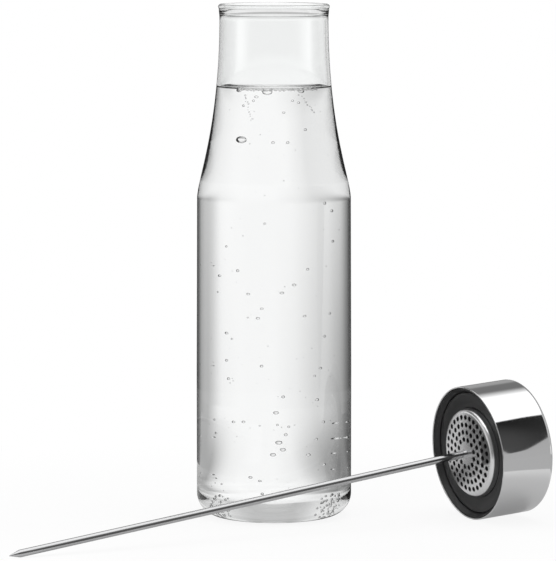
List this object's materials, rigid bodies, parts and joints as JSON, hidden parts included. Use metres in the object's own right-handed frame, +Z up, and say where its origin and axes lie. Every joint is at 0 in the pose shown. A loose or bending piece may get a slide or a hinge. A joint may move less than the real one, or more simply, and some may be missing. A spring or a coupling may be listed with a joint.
{
  "type": "fridge carafe",
  "caption": "Tall clear glass fridge carafe with a polished steel pouring lid that carries a strainer and a long fruit skewer, shown taken off.",
  "frame": {"origin": "centre of the glass base, on the table", "axes": "+Z up along the carafe's axis, +X towards the lid's side as pictured, +Y away from the pictured front"},
  "size_m": [0.2876, 0.1846, 0.281],
  "materials": {
    "clear_glass": "clear polished",
    "polished_steel": "mirror polished",
    "black_plastic": "satin moulded",
    "black_silicone": "matte"
  },
  "bodies": {
    "carafe": {"carafe_glass": "clear_glass"},
    "skewer_set": {"strainer_cup": "polished_steel", "skewer": "polished_steel", "skewer_nut": "polished_steel"},
    "lid_housing": {"lid_shell": "polished_steel", "lid_collar": "black_plastic", "lip_seal": "black_silicone", "strainer_gasket": "black_silicone", "flap_seat": "black_plastic"},
    "pour_flap": {"pour_flap": "polished_steel", "flap_pin": "polished_steel"}
  },
  "joints": [
    {"name": "lid_lift", "type": "slide", "parent": "carafe", "child": "skewer_set", "axis": [0, 0, 1], "range_m": [0, 0.3]},
    {"name": "housing_pull", "type": "slide", "parent": "skewer_set", "child": "lid_housing", "axis": [0.8708, 0.4867, 0.0704], "range_m": [0, 0.04]},
    {"name": "flap_tilt", "type": "hinge", "parent": "lid_housing", "child": "pour_flap", "pos_m": [0.12953, -0.00623, 0.04456], "axis": [0.4879, -0.8729, 0], "range_deg": [0, 70]}
  ]
}
